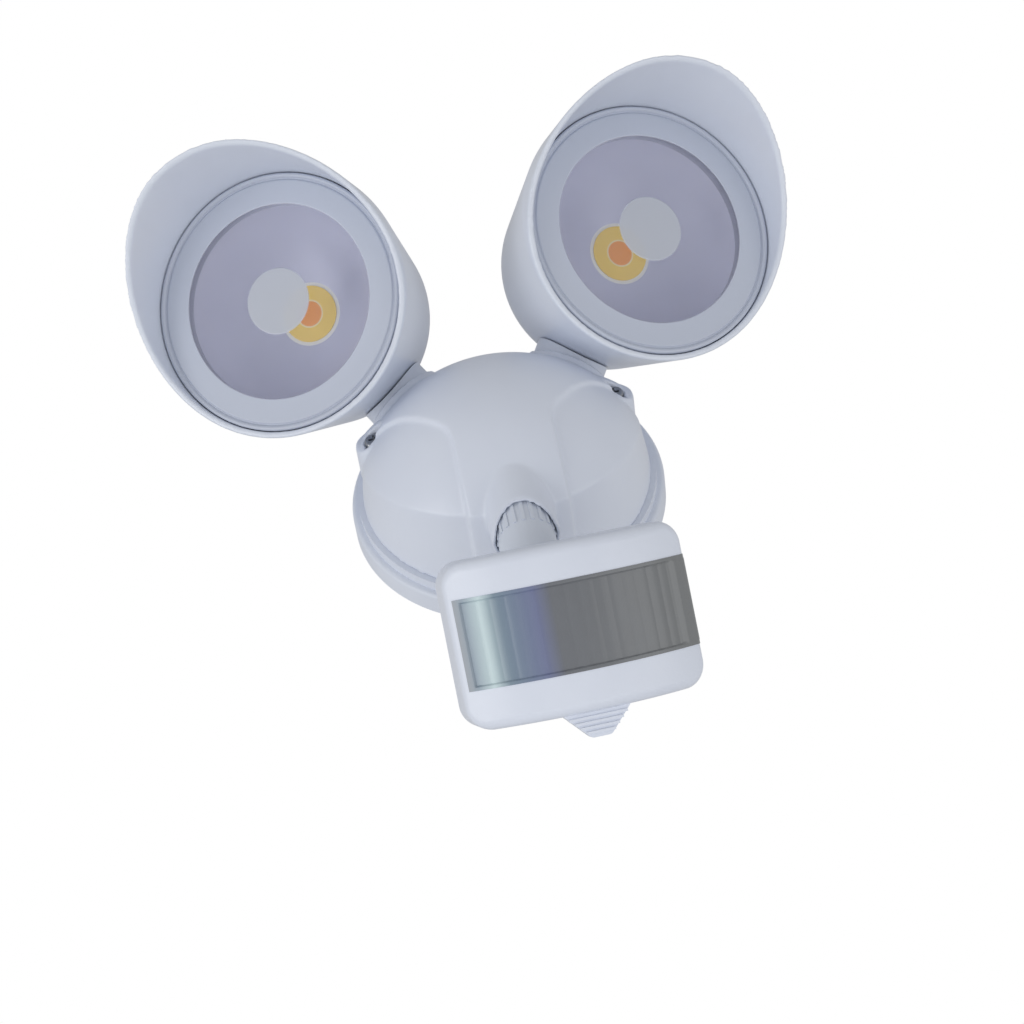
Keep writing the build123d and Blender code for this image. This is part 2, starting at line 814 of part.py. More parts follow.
# ---- swivel, right side: turns in the cover's boss and carries the head ----
spigot_end = boss_face - boss_depth - face_gap - swivel_nut_height
with BuildPart() as collar:
    with BuildSketch(socket_profile):
        Polygon(*ring_points(spigot_end, boss_face + face_gap, 0, boss_bore - run_gap), align=None)
        Polygon(
            *ring_points(boss_face + face_gap, boss_face + head_lift, 0, collar_radius), align=None
        )
    revolve(axis=socket_line)
    with BuildSketch(head_profile):
        with BuildLine():
            envelope = bowl_line(move_gap)
            top = Line(envelope @ 1, (0, lens_station))
            Line(top @ 1, cone_start(move_gap))
        make_face()
    revolve(axis=head_axis, mode=Mode.SUBTRACT)
    with BuildSketch(socket_profile):
        with Locations((seal_radius, boss_face + face_gap)):
            Circle(seal_section)
    revolve(axis=socket_line, mode=Mode.SUBTRACT)
    with BuildSketch(tongue_plane):
        with Locations((tongue_root / 2, 0)):
            Rectangle(tongue_root, tongue_width)
        Circle(eye_radius)
        Circle(pin_radius + run_gap, mode=Mode.SUBTRACT)
    extrude(amount=tongue_thickness / 2, both=True)

with BuildPart() as swivel_nut:
    with BuildSketch(Plane(
        origin=dome_centre + socket_axis * spigot_end, x_dir=socket_side, z_dir=socket_axis
    )):
        RegularPolygon(swivel_nut_radius, 6)
        Circle(boss_bore - run_gap, mode=Mode.SUBTRACT)
    extrude(amount=swivel_nut_height)

with BuildPart() as swivel_seal:
    with BuildSketch(socket_profile):
        with Locations((seal_radius, boss_face + face_gap)):
            Circle(seal_section)
        Polygon(
            *ring_points(boss_face - seal_section, boss_face + face_gap / 2, 0, collar_radius),
            align=None, mode=Mode.SUBTRACT,
        )
    revolve(axis=socket_line)

# ---- lock nut, ball race and sensor arm ----
ball_centre = hood_origin + Vector(0, 0, ball_z)
hinge_centre = ball_centre + Vector(arm_lean_right, -arm_lean_forward, -arm_drop)
with BuildPart() as lock_nut:
    with BuildSketch(Plane(origin=hood_origin, x_dir=right, z_dir=(0, -1, 0))):
        with BuildLine():
            Polyline(
                (stub_radius + run_gap, nut_top_z),
                (nut_radius, nut_top_z),
                (nut_radius, nut_bottom_z),
                (nut_mouth_radius, nut_bottom_z),
                (nut_throat_radius, nut_bottom_z + nut_throat_rise),
                (race_radius, race_floor),
                (race_radius, stub_bottom_z - slip),
                (stub_radius + run_gap, stub_bottom_z - slip),
                close=True,
            )
        make_face()
    revolve(axis=Axis(hood_origin, (0, 0, 1)))
    with BuildSketch(hood_plane(nut_top_z - nut_rib_inset)):
        with PolarLocations(nut_radius, nut_rib_count):
            Rectangle(2 * nut_rib_rise, nut_rib_width)
    extrude(amount=nut_rib_height)

with BuildPart() as ball_race:
    with BuildSketch(Plane(origin=hood_origin, x_dir=right, z_dir=(0, -1, 0))):
        Polygon(
            (0, ball_z + race_above), (race_radius - run_gap, ball_z + race_above),
            (race_radius - run_gap, race_floor),
            (race_radius - run_gap - 2 * slip, race_floor - slip),
            (race_lip_radius, race_floor - slip),
            (race_lip_radius, ball_z - race_below), (0, ball_z - race_below),
            align=None,
        )
        with Locations((0, ball_z)):
            Circle(ball_radius + run_gap, mode=Mode.SUBTRACT)
    revolve(axis=Axis(hood_origin, (0, 0, 1)))

# ---- sensor frame: x right, y up, z toward the viewer ----
pitched = aimed(0, sensor_pitch)
turn = radians(sensor_turn)
sensor_out = pitched * cos(turn) + right * sin(turn)
sensor_right = right * cos(turn) - pitched * sin(turn)
sensor_up = sensor_out.cross(sensor_right)
sensor_depth = sensor_front_depth + sensor_back_depth
face_centre = (
    hinge_centre - sensor_up * hinge_above + sensor_out * (sensor_depth + hinge_behind)
)


def sensor_plane(behind):
    """Plane parallel to the sensor's face, the given depth behind it."""
    return Plane(origin=face_centre - sensor_out * behind, x_dir=sensor_right, z_dir=sensor_out)


sensor_plan = Plane(origin=face_centre, x_dir=sensor_right, z_dir=-sensor_up)
hinge_plane = Plane(origin=hinge_centre, x_dir=sensor_up, z_dir=sensor_right)

with BuildPart() as sensor_arm:
    with Locations(ball_centre):
        Sphere(ball_radius)
    neck = hinge_centre - ball_centre
    with BuildSketch(Plane(origin=ball_centre, z_dir=neck)):
        Circle(arm_neck_radius)
    extrude(amount=neck.length)
    with BuildSketch(hinge_plane):
        Circle(hinge_eye_radius)
    extrude(amount=hinge_eye_width / 2, both=True)
    with BuildSketch(hinge_plane):
        Circle(hinge_pin_radius + run_gap)
    extrude(amount=hinge_eye_width, both=True, mode=Mode.SUBTRACT)

with BuildPart() as hinge_pin:
    with BuildSketch(hinge_plane):
        Circle(hinge_pin_radius)
    extrude(amount=hinge_eye_width / 2 + slip + hinge_lug_thickness, both=True)




def plan_outline(inset):
    """Plan of the sensor head: bowed front, straight sides, flat back."""
    half = sensor_width / 2 - inset
    radius = window_wrap_radius - inset
    bow = (radius ** 2 - half ** 2) ** 0.5 - window_wrap_radius
    with BuildLine() as outline:
        bowed = ThreePointArc((-half, bow), (0, -inset), (half, bow))
        Polyline(bowed @ 1, (half, -sensor_front_depth), (-half, -sensor_front_depth), bowed @ 0)
    return outline


def window_block(grow, near, far):
    """Curved block behind the window opening, between two depths from the bowed front."""
    with BuildPart() as block:
        with BuildSketch(sensor_plan):
            with Locations((0, -window_wrap_radius)):
                Circle(window_wrap_radius - near)
                Circle(window_wrap_radius - far, mode=Mode.SUBTRACT)
        extrude(amount=sensor_height, both=True)
        with BuildSketch(sensor_plane(-far)):
            with Locations((0, -window_drop)):
                RectangleRounded(
                    window_width + 2 * grow, window_height + 2 * grow, window_corner
                )
        extrude(amount=-2 * sensor_front_depth, mode=Mode.INTERSECT)
    return block.part


def front_body(inset):
    """Front housing's solid with rounded corners, shrunk by the given amount."""
    with BuildPart() as body:
        with BuildSketch(sensor_plan):
            add(plan_outline(inset).line)
            make_face()
        extrude(amount=sensor_height / 2 - inset, both=True)
        fillet(edges().filter_by(Axis(face_centre, sensor_out)), sensor_corner - inset)
    return body.part


sensor_points = [(x * sensor_post_x, y * sensor_post_y) for x in (1, -1) for y in (1, -1)]
with BuildPart() as sensor_posts:
    with BuildSketch(sensor_plane(sensor_front_depth)):
        with Locations(*sensor_points):
            Circle(sensor_post_radius)
    extrude(amount=sensor_front_depth)
    add(front_body(sensor_wall / 2), mode=Mode.INTERSECT)

with BuildPart() as sensor_front:
    add(front_body(0))
    bow_edges = edges().filter_by(
        lambda edge: sensor_out.dot(edge.center() - face_centre) > -sensor_front_depth / 2 - bow_depth / 2
    )
    fillet(bow_edges, sensor_front_round)
    # Tapered finger tab below the window.
    with BuildSketch(sensor_plane(tab_behind)):
        with Locations((0, -sensor_height / 2 - tab_length)):
            Trapezoid(
                tab_width, tab_length + sensor_wall, tab_taper, rotation=180,
                align=(Align.CENTER, Align.MAX),
            )
        fillet(vertices().group_by(Axis.Y)[0], tab_tip_round)
    extrude(amount=-tab_thickness)
    with BuildSketch(sensor_plane(tab_behind)):
        for row in range(tab_ridges):
            with Locations((0, -sensor_height / 2 - tab_ridge_pitch * (row + 1))):
                Rectangle(tab_width - 2 * (row + 2) * tab_ridge_pitch, tab_ridge_width)
    extrude(amount=tab_ridge_rise)
    add(front_body(sensor_wall), mode=Mode.SUBTRACT)
    with BuildSketch(sensor_plane(-sensor_wall)):
        with Locations((0, -window_drop)):
            RectangleRounded(window_width, window_height, window_corner)
    extrude(amount=-sensor_front_depth, mode=Mode.SUBTRACT)
    add(sensor_posts.part)
    with BuildSketch(sensor_plane(sensor_front_depth)):
        with Locations(*sensor_points):
            Circle(sensor_screw_radius)
    extrude(amount=sensor_screw_bite, mode=Mode.SUBTRACT)

with BuildPart() as fresnel_lens:
    add(window_block(-slip, fresnel_sink, sensor_wall))
    add(window_block(fresnel_lip, sensor_wall, sensor_wall + fresnel_thickness))
    add(window_block(-slip - fresnel_thickness, fresnel_sink + fresnel_thickness,
                     2 * sensor_wall + fresnel_thickness), mode=Mode.SUBTRACT)

dial_points = [(x * dial_spacing, -dial_drop) for x in (-1, 0, 1)]
board_points = [(x * sensor_board_post_x, 0) for x in (-1, 1)]
sensor_head_seat = sensor_depth - sensor_screw_head_height - slip
with BuildPart() as sensor_back:
    with BuildSketch(sensor_plane(sensor_front_depth)):
        RectangleRounded(sensor_width, sensor_height, sensor_corner)
    extrude(amount=-sensor_back_depth)
    fillet(faces().filter_by(Plane(face_centre, z_dir=sensor_out)).sort_by(
        Axis(face_centre, sensor_out))[0].edges(), sensor_back_round)
    with BuildSketch(sensor_plane(sensor_front_depth)):
        RectangleRounded(
            sensor_width - 2 * sensor_wall, sensor_height - 2 * sensor_wall,
            sensor_corner - sensor_wall,
        )
    extrude(amount=-sensor_back_depth + sensor_wall, mode=Mode.SUBTRACT)
    with BuildSketch(sensor_plane(sensor_depth - sensor_wall)):
        with Locations(*sensor_points):
            Circle(sensor_post_radius + sensor_wall / 2)
    extrude(amount=sensor_back_depth - sensor_wall)
    with BuildSketch(sensor_plane(sensor_depth - sensor_wall)):
        with Locations(*board_points):
            Circle(sensor_post_radius)
    extrude(amount=sensor_depth - sensor_wall - board_seat)
    # Two lugs hold the hinge pin.
    with BuildSketch(hinge_plane):
        Circle(hinge_eye_radius)
        Rectangle(
            2 * hinge_eye_radius, hinge_behind + sensor_wall / 2, align=(Align.CENTER, Align.MIN)
        )
    extrude(amount=hinge_eye_width / 2 + slip + hinge_lug_thickness, both=True)
    with BuildSketch(hinge_plane):
        with Locations((0, hinge_behind)):
            Rectangle(4 * hinge_eye_radius, 4 * hinge_eye_radius, align=(Align.CENTER, Align.MAX))
    extrude(amount=hinge_eye_width / 2 + slip, both=True, mode=Mode.SUBTRACT)
    with BuildSketch(hinge_plane):
        Circle(hinge_pin_radius)
    extrude(amount=hinge_eye_width + hinge_lug_thickness, both=True, mode=Mode.SUBTRACT)
    with BuildSketch(sensor_plane(sensor_depth)):
        with Locations(*sensor_points):
            Circle(sensor_screw_head + slip)
    extrude(amount=sensor_screw_head_height + slip, mode=Mode.SUBTRACT)
    with BuildSketch(sensor_plane(sensor_depth)):
        with Locations(*sensor_points):
            Circle(sensor_screw_radius + slip)
        with Locations(*dial_points):
            Circle(dial_shaft_radius + run_gap)
    extrude(amount=sensor_back_depth, mode=Mode.SUBTRACT)

with BuildPart() as sensor_screws:
    with BuildSketch(sensor_plane(sensor_head_seat)):
        with Locations(*sensor_points):
            Circle(sensor_screw_head)
    extrude(amount=-sensor_screw_head_height)
    with BuildSketch(sensor_plane(sensor_head_seat)):
        with Locations(*sensor_points):
            Circle(sensor_screw_radius)
    extrude(amount=sensor_head_seat - sensor_front_depth + sensor_screw_bite)
    with BuildSketch(sensor_plane(sensor_head_seat + sensor_screw_head_height)):
        with Locations(*sensor_points):
            Rectangle(recess_length * 2 / 3, recess_width)
            Rectangle(recess_width, recess_length * 2 / 3)
    extrude(amount=sensor_screw_head_height / 2, mode=Mode.SUBTRACT)

with BuildPart() as sensor_board:
    with BuildSketch(sensor_plane(board_seat)):
        Rectangle(sensor_board_width, sensor_board_height)
    extrude(amount=sensor_board_thickness)

with BuildPart() as pir_element:
    with BuildSketch(sensor_plane(board_seat - sensor_board_thickness)):
        with Locations((0, -window_drop)):
            Circle(pir_radius + pir_flange)
    extrude(amount=pir_flange)
    with BuildSketch(sensor_plane(board_seat - sensor_board_thickness)):
        with Locations((0, -window_drop)):
            Circle(pir_radius)
    extrude(amount=pir_height)

with BuildPart() as potentiometers:
    with BuildSketch(sensor_plane(board_seat)):
        with Locations(*dial_points):
            Rectangle(pot_width, pot_width)
            Circle(dial_shaft_radius + run_gap, mode=Mode.SUBTRACT)
    extrude(amount=-pot_depth)


def dial(place):
    """Adjusting dial on the rear face with its shaft in the potentiometer."""
    with BuildPart() as knob:
        with BuildSketch(sensor_plane(sensor_depth + face_gap)):
            with Locations(place):
                Circle(dial_radius)
        extrude(amount=-dial_height)
        with BuildSketch(sensor_plane(sensor_depth + face_gap)):
            with Locations(place):
                Circle(dial_shaft_radius)
        extrude(amount=sensor_depth + face_gap - board_seat - pot_depth / 3)
        with BuildSketch(sensor_plane(sensor_depth + face_gap + dial_height)):
            with Locations(place):
                Rectangle(dial_slot, 2 * dial_radius)
        extrude(amount=dial_height / 2, mode=Mode.SUBTRACT)
    return knob


time_dial, range_dial, light_dial = [dial(place) for place in dial_points]

os.makedirs("parts", exist_ok=True)
nodes = {
    "cover": cover, "back_plate": back_plate, "wall_gasket": wall_gasket,
    "cable_grommet": cable_grommet, "cover_screws": cover_screws,
    "terminal_block": terminal_block, "driver_board": driver_board,
    "driver_components": driver_parts, "driver_screws": driver_screws,
    "lock_nut": lock_nut, "ball_race": ball_race, "sensor_arm": sensor_arm,
    "hinge_pin": hinge_pin, "sensor_front": sensor_front, "fresnel_lens": fresnel_lens,
    "sensor_back": sensor_back, "sensor_screws": sensor_screws, "sensor_board": sensor_board,
    "pir_element": pir_element, "potentiometers": potentiometers, "time_dial": time_dial,
    "range_dial": range_dial, "light_dial": light_dial,
}
for label, node in nodes.items():
    node.part.label = label
    export_step(node.part, f"parts/{label}.step")
handed = {
    "housing": housing, "lens": lens, "lens_gasket": lens_gasket, "reflector": reflector,
    "led_board": led_board, "led_phosphor": led_phosphor, "heat_sink": heat_sink,
    "sink_screws": sink_screws, "pivot_pin": pivot_pin, "collar": collar,
    "swivel_nut": swivel_nut, "swivel_seal": swivel_seal,
}
for label, node in handed.items():
    node.part.label = f"{label}_right"
    export_step(node.part, f"parts/{label}_right.step")
    with BuildPart() as twin:
        mirror(node.part, about=Plane.YZ)
    twin.part.label = f"{label}_left"
    export_step(twin.part, f"parts/{label}_left.step")
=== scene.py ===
# %% [markdown]
# # A twin-head motion sensor light
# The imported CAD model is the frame: every node is already in place, in metres. The cells below
# dress it with finishes and lay finer surfaces over the few nodes whose soft edges the eye sees.

# %% Load the frame
import json
from math import cos, radians, sin

import bpy
import numpy as np
from mathutils import Matrix, Vector

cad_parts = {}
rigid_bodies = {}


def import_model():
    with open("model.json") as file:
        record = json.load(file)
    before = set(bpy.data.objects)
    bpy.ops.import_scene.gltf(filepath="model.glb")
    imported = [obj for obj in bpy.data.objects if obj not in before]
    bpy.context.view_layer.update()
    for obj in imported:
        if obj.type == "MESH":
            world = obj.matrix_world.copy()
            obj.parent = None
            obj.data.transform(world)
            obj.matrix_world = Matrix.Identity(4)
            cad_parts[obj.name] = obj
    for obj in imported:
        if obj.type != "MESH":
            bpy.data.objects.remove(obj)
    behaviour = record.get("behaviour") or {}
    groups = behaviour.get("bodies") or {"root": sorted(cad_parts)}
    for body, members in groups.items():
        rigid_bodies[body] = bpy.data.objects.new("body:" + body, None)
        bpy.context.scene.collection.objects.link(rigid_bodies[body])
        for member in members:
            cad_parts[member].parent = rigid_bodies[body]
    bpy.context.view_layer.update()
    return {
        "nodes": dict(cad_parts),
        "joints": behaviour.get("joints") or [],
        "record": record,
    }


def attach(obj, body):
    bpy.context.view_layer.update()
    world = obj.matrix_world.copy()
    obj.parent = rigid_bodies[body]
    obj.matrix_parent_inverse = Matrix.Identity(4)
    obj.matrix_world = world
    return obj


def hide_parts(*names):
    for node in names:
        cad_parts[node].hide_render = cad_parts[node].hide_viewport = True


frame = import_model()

nodes = frame["nodes"]

# %% [markdown]
# Colours are noted as sRGB hex values, as a colour card or a picture shows them. Blender's
# sockets want linear light, so one function does the turning for all of them.

# %% Colours
def linear(hex_colour, alpha=1.0):
    """Linear RGBA of a hex colour: ((c + 0.055) / 1.055) to the power 2.4, dark ones c / 12.92."""
    value = np.array([int(hex_colour[i:i + 2], 16) / 255 for i in (0, 2, 4)])
    low, high = value / 12.92, ((value + 0.055) / 1.055) ** 2.4
    return (*np.where(value <= 0.04045, low, high), alpha)


print("mid grey in linear light:", round(linear("808080")[0], 3))

# %% [markdown]
# A procedural finish is a small tree of nodes. One helper adds a node, sets what it needs and
# links its inputs, so that each finish reads as a list of what it is made of.

# %% Node helper
def add_node(tree, kind, settings=None, **inputs):
    """Adds a node; inputs are values or other nodes' output sockets, by the socket's name."""
    node = tree.nodes.new(kind)
    for name, value in (settings or {}).items():
        setattr(node, name, value)
    for name, value in inputs.items():
        key = int(name[1:]) if name[0] == "i" and name[1:].isdigit() else name.replace("_", " ")
        socket = node.inputs[key]
        if isinstance(value, bpy.types.NodeSocket):
            tree.links.new(value, socket)
        else:
            socket.default_value = value
    return node


def new_finish(name, roughness, metallic=0.0, **sockets):
    """A material whose shader takes the values that are the same all over; returns its tree too."""
    material = bpy.data.materials.new(name)
    material.use_nodes = True
    tree = material.node_tree
    shader = tree.nodes["Principled BSDF"]
    shader.inputs["Roughness"].default_value = roughness
    shader.inputs["Metallic"].default_value = metallic
    for key, value in sockets.items():
        shader.inputs[key.replace("_", " ")].default_value = value
    return material, tree, shader, add_node(tree, "ShaderNodeTexCoord").outputs["Object"]


print("helpers ready:", add_node.__name__, new_finish.__name__)

# %% [markdown]
# Most moulded and cast surfaces are the same two things at different scales: a tone that wanders
# a little, and a fine grain that shows in the gloss and as a bump. They could be painted by hand
# on each piece, but as noise worked out from a size in millimetres they fit every piece at once.

# %% Tone and grain
def mottled(tree, where, lump_mm, shade, light, detail=3.0):
    """Mixes two sRGB tones by fractal noise whose lumps are about lump_mm across."""
    lumps = add_node(tree, "ShaderNodeTexNoise", Vector=where, Scale=1000 / lump_mm, Detail=detail)
    mix = add_node(tree, "ShaderNodeMix", {"data_type": "RGBA"}, i0=lumps.outputs["Fac"],
                   i6=linear(shade), i7=linear(light))
    return mix.outputs[2]


def grained(tree, shader, where, grain_mm, depth_mm, gloss=None, detail=3.0):
    """Bump of the given real depth; with a (low, high) gloss, the grain sets the roughness too."""
    grain = add_node(tree, "ShaderNodeTexNoise", Vector=where, Scale=1000 / grain_mm,
                     Detail=detail).outputs["Fac"]
    if gloss:
        spread = add_node(tree, "ShaderNodeMapRange", Value=grain, To_Min=gloss[0], To_Max=gloss[1])
        tree.links.new(spread.outputs[0], shader.inputs["Roughness"])
    bump = add_node(tree, "ShaderNodeBump", Height=grain, Strength=1.0, Distance=depth_mm / 1000)
    tree.links.new(bump.outputs[0], shader.inputs["Normal"])


finishes = {}
print("tone and grain ready; finishes so far:", len(finishes))

# %% [markdown]
# ## Moulded white ABS
# The cover, the plate, the lamp housings and the sensor case are injection-moulded ABS in a cool
# white. The real surface has a fine spark-eroded grain, a soft gloss, and faint clouds where the
# melt cooled unevenly. Two noises do that: a wide one for the clouds and a fine one for the grain.
# Acetal comes out smoother and a little warmer, the black and grey plastics coarser, and moulded
# rubber dull and nearly black, all by the same recipe with other numbers.

# %% Moulded plastics
cloud_mm = 28


def moulded(name, light, shade, roughness, grain_mm=0.5, grain_depth_mm=0.012, **sockets):
    """Injection-moulded plastic: clouds of two close tones, grain in bump and roughness."""
    material, tree, shader, where = new_finish(name, roughness, **sockets)
    tree.links.new(mottled(tree, where, cloud_mm, shade, light, 2.0), shader.inputs["Base Color"])
    gloss = roughness - 0.05, roughness + 0.07
    grained(tree, shader, where, grain_mm, grain_depth_mm, gloss)
    finishes[name] = material


moulded("white_cover", "E0E6F2", "D8DEEC", 0.36, Coat_Weight=0.15, Coat_Roughness=0.25)
moulded("white_plate", "DDE3EF", "D5DBE8", 0.42)
moulded("white_housing", "DFE5F0", "D7DDEB", 0.33, Coat_Weight=0.2, Coat_Roughness=0.2)
moulded("white_collar", "DFE5F0", "D7DDEB", 0.38)
moulded("white_nut", "DBE1ED", "D1D8E4", 0.40)
moulded("white_sensor", "E0E6F2", "D8DEEC", 0.36, Coat_Weight=0.15, Coat_Roughness=0.25)
moulded("white_acetal", "E9EAEA", "E0E2E2", 0.30, 0.9, 0.006)
moulded("black_plastic", "26282A", "1C1D1F", 0.45, 0.6, 0.02)
moulded("grey_dial", "8B9095", "7F8489", 0.42, 0.5, 0.015)
moulded("black_rubber", "232425", "191A1B", 0.72, 0.35, 0.03)
print("moulded finishes:", sorted(finishes))

# %% [markdown]
# ## Metals
# The heat sinks are die-cast aluminium with a coarse matt skin, the screws are zinc-plated steel
# with a fine crystal grain, and the detector's can is drawn steel, nearly smooth.

# %% Metals
def metal(name, light, shade, roughness, grain_mm, grain_depth_mm):
    """Metal with a tone that wanders over six grains and the grain its making leaves."""
    material, tree, shader, where = new_finish(name, roughness, 1.0)
    tree.links.new(mottled(tree, where, 6 * grain_mm, shade, light), shader.inputs["Base Color"])
    gloss = roughness - 0.08, roughness + 0.12
    grained(tree, shader, where, grain_mm, grain_depth_mm, gloss, 5.0)
    finishes[name] = material


metal("cast_aluminium", "B9BCBE", "A4A8AB", 0.5, 0.8, 0.05)
metal("zinc_steel", "B4B6BA", "9A9DA2", 0.32, 0.25, 0.008)
metal("sensor_can", "C2C4C6", "B2B5B8", 0.28, 0.2, 0.004)
print("metals done, finishes:", len(finishes))

# %% [markdown]
# ## Finishes that change with the distance from the lamp's axis
# A lamp's lens is clear over the reflector, frosted round its edge and frosted again in a small
# centre disc. Its chip is orange in the middle and paler outwards. Both lamps mirror each other,
# so a point's x is taken without its sign, and one distance from the right lamp's axis serves both.

# %% The lamp's axis
joints = {joint["name"]: joint for joint in frame["joints"]}
head_centre = Vector(joints["right_head_pan"]["pos_m"])


def corners(name):
    """Vertices of a CAD node as an array of points."""
    mesh = nodes[name].data
    points = np.empty(3 * len(mesh.vertices))
    mesh.vertices.foreach_get("co", points)
    return points.reshape(-1, 3)


lens_points = corners("lens_right")
lens_centre = Vector((lens_points.min(0) + lens_points.max(0)) / 2)
lamp_axis = (lens_centre - head_centre).normalized()
print("lens centre (mm):", [round(v * 1000, 2) for v in lens_centre])

# %% Measures about that axis
def folded(tree, where):
    """The point (|x|, y, z)."""
    apart = add_node(tree, "ShaderNodeSeparateXYZ", Vector=where)
    positive = add_node(tree, "ShaderNodeMath", {"operation": "ABSOLUTE"}, i0=apart.outputs[0])
    return add_node(tree, "ShaderNodeCombineXYZ", X=positive.outputs[0],
                    Y=apart.outputs[1], Z=apart.outputs[2]).outputs[0]


def outside(tree, where, blur_mm, *radii_mm):
    """For each radius about the axis, 0 inside it and 1 outside it, with a soft edge."""
    offset = add_node(tree, "ShaderNodeVectorMath", {"operation": "SUBTRACT"},
                      i0=folded(tree, where), i1=head_centre)
    moment = add_node(tree, "ShaderNodeVectorMath", {"operation": "CROSS_PRODUCT"},
                      i0=offset.outputs[0], i1=lamp_axis)
    distance = add_node(tree, "ShaderNodeVectorMath", {"operation": "LENGTH"},
                        i0=moment.outputs[0]).outputs["Value"]
    return [add_node(tree, "ShaderNodeMapRange", {"interpolation_type": "SMOOTHSTEP"},
                     Value=distance, From_Min=(radius_mm - blur_mm) / 1000,
                     From_Max=(radius_mm + blur_mm) / 1000).outputs[0] for radius_mm in radii_mm]


def ahead_of(tree, where, station_mm):
    """1 where the point lies further along the axis from head_centre than the station, else 0."""
    along = add_node(tree, "ShaderNodeVectorMath", {"operation": "DOT_PRODUCT"},
                     i0=folded(tree, where), i1=lamp_axis).outputs["Value"]
    place = head_centre.dot(lamp_axis) + station_mm / 1000
    return add_node(tree, "ShaderNodeMath", {"operation": "GREATER_THAN"},
                    i0=along, i1=place).outputs[0]


print("lamp axis:", [round(v, 3) for v in lamp_axis])

# %% [markdown]
# ### Lens: pressed clear polycarbonate
# The mould's etched areas come out frosted and its polished ones clear. Real refraction would
# need light to pass two faces and would leave the reflector dark, so the clear part is thin in
# the Alpha channel instead. The frost stops halfway through the disc, so its back stays clear.

# %% Clear lens
disc_radius_mm, band_radius_mm, frost_station_mm, edge_blur_mm = 12.6, 37.2, 41.5, 0.3
clear_part, frosted_part = (0.07, 0.06), (0.94, 0.42)  # each an alpha and a roughness
etch_mm, etch_depth_mm = 0.35, 0.012

material, tree, shader, where = new_finish("clear_lens", clear_part[1], IOR=1.5)
past_disc, past_clear = outside(tree, where, edge_blur_mm, disc_radius_mm, band_radius_mm)
inside_disc = add_node(tree, "ShaderNodeMath", {"operation": "SUBTRACT"}, i0=1.0,
                       i1=past_disc).outputs[0]
etched = add_node(tree, "ShaderNodeMath", {"operation": "MAXIMUM"},
                  i0=inside_disc, i1=past_clear).outputs[0]
frost = add_node(tree, "ShaderNodeMath", {"operation": "MULTIPLY"}, i0=etched,
                 i1=ahead_of(tree, where, frost_station_mm)).outputs[0]
milk = add_node(tree, "ShaderNodeMix", {"data_type": "RGBA"}, i0=inside_disc,
                i6=linear("C4CBDB"), i7=linear("BFC4CF")).outputs[2]
tint = add_node(tree, "ShaderNodeMix", {"data_type": "RGBA"}, i0=frost,
                i6=linear("DDDFF2"), i7=milk)
tree.links.new(tint.outputs[2], shader.inputs["Base Color"])
for clear, frosted, channel in zip(clear_part, frosted_part, ("Alpha", "Roughness")):
    spread = add_node(tree, "ShaderNodeMapRange", Value=frost, To_Min=clear, To_Max=frosted)
    tree.links.new(spread.outputs[0], shader.inputs[channel])
etching = add_node(tree, "ShaderNodeTexNoise", Vector=where, Scale=1000 / etch_mm, Detail=3.0)
pits = add_node(tree, "ShaderNodeMath", {"operation": "MULTIPLY"}, i0=etching.outputs["Fac"],
                i1=frost)
bump = add_node(tree, "ShaderNodeBump", Height=pits.outputs[0], Strength=1.0,
                Distance=etch_depth_mm / 1000)
tree.links.new(bump.outputs[0], shader.inputs["Normal"])
finishes["clear_lens"] = material
print("lens frosted inside", disc_radius_mm, "mm and outside", band_radius_mm, "mm")

# %% [markdown]
# ### Reflector: plastic with a vapour-deposited skin
# The bowl's thin metal skin is dull and slightly wavy like orange peel, and through the lens it
# looks like a pale lilac grey. It is therefore nearly a plastic here, with a little metal in it.

# %% Reflector
material, tree, shader, where = new_finish("silver_reflector", 0.42, 0.1)
tree.links.new(mottled(tree, where, 14, "C6C9DE", "CFD2E6", 2.0), shader.inputs["Base Color"])
grained(tree, shader, where, 1.6, 0.01, (0.38, 0.5), 2.0)
finishes["silver_reflector"] = material
print("reflector done, finishes:", len(finishes))

# %% [markdown]
# ### Chip: silicone with phosphor, on a white board
# A drop of silicone filled with phosphor lies over the dies that give the light. It shows an
# orange core, a thin pale ring and a yellow field. Its board has a white, finely grained mask.

# %% Chip and its board
core_radius_mm, ring_radius_mm, chip_blur_mm, powder_mm = 4.9, 5.5, 0.2, 0.5

material, tree, shader, where = new_finish("led_phosphor", 0.35, Coat_Weight=0.6,
                                           Coat_Roughness=0.08)
past_core, past_ring = outside(tree, where, chip_blur_mm, core_radius_mm, ring_radius_mm)
tone = add_node(tree, "ShaderNodeMix", {"data_type": "RGBA"}, i0=past_core,
                i6=linear("FFA030"), i7=linear("FFE9B0")).outputs[2]
powder = add_node(tree, "ShaderNodeTexNoise", Vector=where, Scale=1000 / powder_mm, Detail=3.0)
strength = add_node(tree, "ShaderNodeMapRange", Value=powder.outputs["Fac"], To_Min=0.75,
                    To_Max=1.0)
field = add_node(tree, "ShaderNodeMath", {"operation": "MULTIPLY"}, i0=past_ring,
                 i1=strength.outputs[0])
glow = add_node(tree, "ShaderNodeMix", {"data_type": "RGBA"}, i0=field.outputs[0], i6=tone,
                i7=linear("FFD644"))
tree.links.new(glow.outputs[2], shader.inputs["Base Color"])
finishes["led_phosphor"] = material

material, tree, shader, where = new_finish("led_substrate", 0.35)
tree.links.new(mottled(tree, where, 0.8, "EDEEEA", "F6F6F2"), shader.inputs["Base Color"])
grained(tree, shader, where, 0.2, 0.01)
finishes["led_substrate"] = material
print("chip core to", core_radius_mm, "mm, finishes:", len(finishes))

